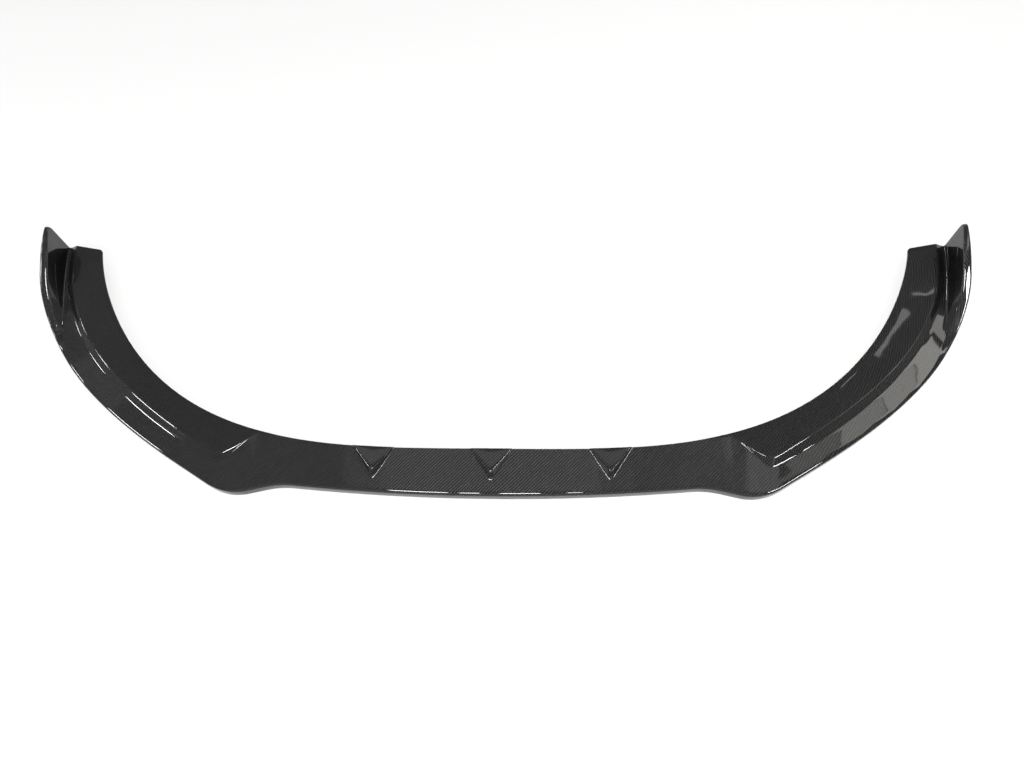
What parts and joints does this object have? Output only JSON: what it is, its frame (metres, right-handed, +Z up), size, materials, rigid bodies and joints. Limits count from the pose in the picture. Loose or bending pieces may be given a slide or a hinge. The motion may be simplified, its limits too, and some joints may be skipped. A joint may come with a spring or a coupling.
{
  "type": "front splitter lip",
  "caption": "Wide one-piece carbon-fibre front splitter lip: shallow band with raised seating pads, swept-back arms and upright hollow end fins.",
  "frame": {"origin": "centre of the bounding box at ground level: on the car's centre line, halfway along the lip, in the plane of its bottom rim", "axes": "+X across the car to the right-hand fin as seen from behind, +Y from the nose to the rear ends of the arms, +Z up"},
  "size_m": [1.772, 0.518, 0.098],
  "materials": {
    "carbon": "gloss clear coat over 2x2 twill carbon fibre"
  },
  "bodies": {
    "root": {"lip": "carbon"}
  },
  "joints": []
}
